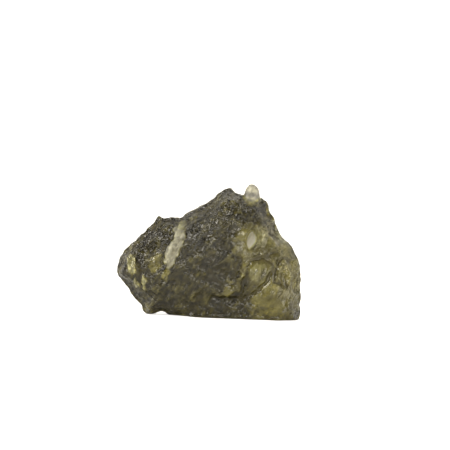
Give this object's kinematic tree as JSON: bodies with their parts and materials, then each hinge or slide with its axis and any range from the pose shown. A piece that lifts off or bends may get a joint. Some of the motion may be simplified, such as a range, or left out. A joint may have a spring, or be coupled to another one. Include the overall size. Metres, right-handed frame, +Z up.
{
  "type": "raw moldavite",
  "caption": "Raw moldavite: a ragged, bevelled flake of olive green natural glass with a ledge, furrows and etched cups, standing on a small flat spot.",
  "frame": {"origin": "middle of the stone's width and thickness, on the plane of its flat resting spot", "axes": "+Z up as it stands, +X to the right along its length when it is seen from the front, +Y from the front face to the back face"},
  "size_m": [0.013, 0.0046, 0.0093],
  "materials": {
    "moldavite_glass": "etched olive green natural glass, clear inside and dull to glossy outside"
  },
  "bodies": {
    "root": {"moldavite": "moldavite_glass"}
  },
  "joints": []
}
